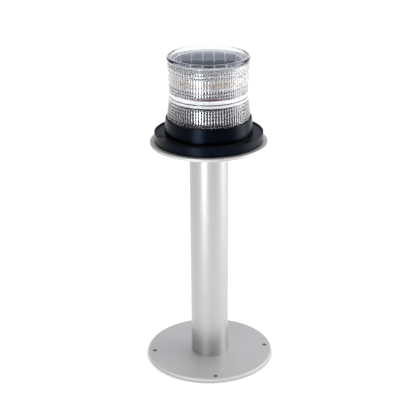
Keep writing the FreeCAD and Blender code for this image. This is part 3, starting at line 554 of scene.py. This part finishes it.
# %% [markdown]
# ## Clear plastic
# The lens is clear plastic, which bends light by an index of about 1.5. It has almost no colour, a
# polished surface, and a very slight haze from the mould. Each side of the groove at the waist the
# plastic is milky and glows faintly, a painted glow, and the groove itself holds a painted line of
# shadow. The height on the piece picks one of the three, through the factor of a Mix Shader.

# %% Finish the lens
painted_glow_start = 0.9 * MM        # the painted glow band's and the painted shadow's reach, up and down from the groove's middle
painted_glow_end = 6.5 * MM
shadow_reach = 0.4 * MM


def clear_plastic():
    """Clear plastic with a faint haze, milky with a painted glow each side of the waist's groove, and
    painted dark as shadow in it.
    """
    material, wire = start_finish("clear_lens")
    haze = speckle(wire, place_on_piece(wire), 6 * MM, 2.0)
    clear = wire.add("ShaderNodeBsdfPrincipled", None, {
        "Base Color": mixed(wire, haze, (0.96, 0.97, 0.99), (0.99, 0.99, 1.0)),
        "Roughness": haze * 0.03 + 0.01, "Transmission Weight": 1.0, "IOR": 1.50})
    # milky plastic that also glows faintly: its emission is a painted glow, not a lamp
    milky_painted_glow = wire.add("ShaderNodeBsdfPrincipled", None, {
        "Base Color": mixed(wire, haze, (0.90, 0.91, 0.94), (0.97, 0.97, 0.99)),
        "Roughness": haze * 0.1 + 0.45, "Transmission Weight": 0.4, "IOR": 1.53,
        "Emission Color": (1.0, 1.0, 1.0, 1.0), "Emission Strength": 0.25})
    height = wire.add("ShaderNodeSeparateXYZ", None, {"Vector": place_on_piece(wire)}, output="Z")
    from_groove = wire.math("ABSOLUTE", height - groove_middle * MM)
    above_ribs = height > (lower_band[1] - band_edge) * MM
    # the band each side of the groove where the painted glow lies
    painted_glow_band = (from_groove > painted_glow_start) * (from_groove < painted_glow_end) * above_ribs
    clear_or_milky_glow = wire.add("ShaderNodeMixShader", None, {0: painted_glow_band * (haze * 0.3 + 0.6), 1: clear, 2: milky_painted_glow})
    # a painted shadow: a dark matt shader laid along the groove
    shadow = wire.add("ShaderNodeBsdfPrincipled", None, {
        "Base Color": mixed(wire, haze, (0.02, 0.02, 0.03), (0.05, 0.05, 0.06)), "Roughness": 0.5})
    in_groove = (from_groove < shadow_reach) * 0.85
    lined = wire.add("ShaderNodeMixShader", None, {0: in_groove, 1: clear_or_milky_glow, 2: shadow})
    wire.add("ShaderNodeOutputMaterial", None, {"Surface": lined})
    return material


lens.data.materials.append(clear_plastic())
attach(lens, "lantern")
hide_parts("lens")
print("the lens rides on the lantern")


# %% [markdown]
# ## Floor and light
# The light stands in a white studio. The floor is a wide pale sheet, bright enough that only a soft
# shadow shows at the base. Around it the world is a gradient rather than a plain white, because metal
# and clear plastic take all their modelling from what they reflect. Two soft boxes draw the bright
# bands on the pipe: a large one at the right, and a small, slightly blue one low at the front left.

# %% Lay the floor
def studio_floor():
    """A wide disc just under the base, pale and matt. It glows faintly, except under the base plate, where
    it is painted black as painted shade.
    """
    reach = 2.5
    gap = 0.05 * MM
    base_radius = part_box("base_plate")[1].x
    turn = np.linspace(0.0, 2.0 * np.pi, 96, endpoint=False)
    ring = np.stack([reach * np.cos(turn), reach * np.sin(turn), np.full_like(turn, -gap)], axis=-1)
    mesh = bpy.data.meshes.new("studio_floor")
    mesh.from_pydata(ring.tolist(), [], [list(range(len(turn)))])
    floor = bpy.data.objects.new("studio_floor", mesh)
    bpy.context.scene.collection.objects.link(floor)
    material, wire = start_finish("studio_floor")
    paper = speckle(wire, place_on_piece(wire), 2 * MM, 2.0)
    from_axis = wire.add("ShaderNodeVectorMath", {"operation": "LENGTH"}, {0: place_on_piece(wire)},
                         output="Value")
    # 0 under the base plate, where the floor is painted black with no glow: painted shade seen through the
    # plate's holes
    floor_outside_painted_shade = ((from_axis - base_radius * 0.95) / (base_radius * 0.1)).limited()
    end_finish(material, wire, {
        "Base Color": mixed(wire, floor_outside_painted_shade * (paper * 0.03 + 0.97), (0.01, 0.01, 0.01),
                            (0.93, 0.93, 0.93)),
        "Roughness": 0.9, "Specular IOR Level": 0.1, "Emission Strength": 0.47,
        "Emission Color": mixed(wire, floor_outside_painted_shade, (0.0, 0.0, 0.0), (1.0, 1.0, 1.0))})
    floor.data.materials.append(material)
    return floor


print("floor:", studio_floor().name)


# %% Light the studio
def studio_world():
    """White to the eye, and a soft gradient to everything that reflects or bends light: bright at the
    right, dark at the front and left, and a little dim and blue low down behind. Each of those is a
    ramp on the direction's x, y or z, held between 0 and 1, and all of them fade towards the top."""
    world = bpy.data.worlds.new("studio")
    world.use_nodes = True
    world.node_tree.nodes.clear()
    wire = Wire(world.node_tree)
    way = wire.add("ShaderNodeTexCoord", output="Generated")
    x = wire.add("ShaderNodeSeparateXYZ", None, {"Vector": way}, output="X")
    y = wire.add("ShaderNodeSeparateXYZ", None, {"Vector": way}, output="Y")
    z = wire.add("ShaderNodeSeparateXYZ", None, {"Vector": way}, output="Z")
    front = (0.25 - y * 1.2).limited()
    left = (x * -1.3 - 0.2).limited()
    dark = wire.math("MAXIMUM", front * 0.85, left * 0.8)
    behind = ((z - 0.08) * 5.0).limited() * (y * 1.6 - 0.3).limited() * (1.6 - z * 2.0).limited()
    shade = (1.0 - dark * (1.0 - (z - 0.5).limited())) * (1.0 - behind * 0.5)
    seen = wire.add("ShaderNodeLightPath", output="Is Camera Ray")
    strength = shade * 0.95 * (1.0 - seen) + seen * 1.1
    tint = mixed(wire, behind * (1.0 - seen), (1.0, 1.0, 1.0), (0.74, 0.81, 1.0))
    sky = wire.add("ShaderNodeBackground", None, {"Color": tint, "Strength": strength})
    wire.add("ShaderNodeOutputWorld", None, {"Surface": sky})
    bpy.context.scene.world = world
    return world


def soft_box(name, place, aim, size, power, colour=(1.0, 1.0, 1.0)):
    """A rectangular area light at place that faces aim."""
    data = bpy.data.lights.new(name, "AREA")
    data.shape = "RECTANGLE"
    data.size, data.size_y = size
    data.energy = power
    data.color = colour
    light = bpy.data.objects.new(name, data)
    way = np.array(aim) - np.array(place)
    light.location = place
    tilt = math.atan2(math.hypot(way[0], way[1]), -way[2])
    light.rotation_euler = (tilt, 0.0, math.atan2(way[0], -way[1]) + math.pi)
    bpy.context.scene.collection.objects.link(light)
    return light


studio_world()
soft_box("right_box", place=(1.1, 0.05, 0.55), aim=(0.0, 0.0, 0.3), size=(0.7, 1.0), power=6.0)
soft_box("front_left_box", place=(-0.55, -1.08, 0.22), aim=(0.0, 0.0, 0.36), size=(0.42, 0.5), power=4.6,
         colour=(0.86, 0.90, 1.0))
bpy.context.scene.view_settings.view_transform = "Standard"
print("lights:", [light.name for light in bpy.data.lights])
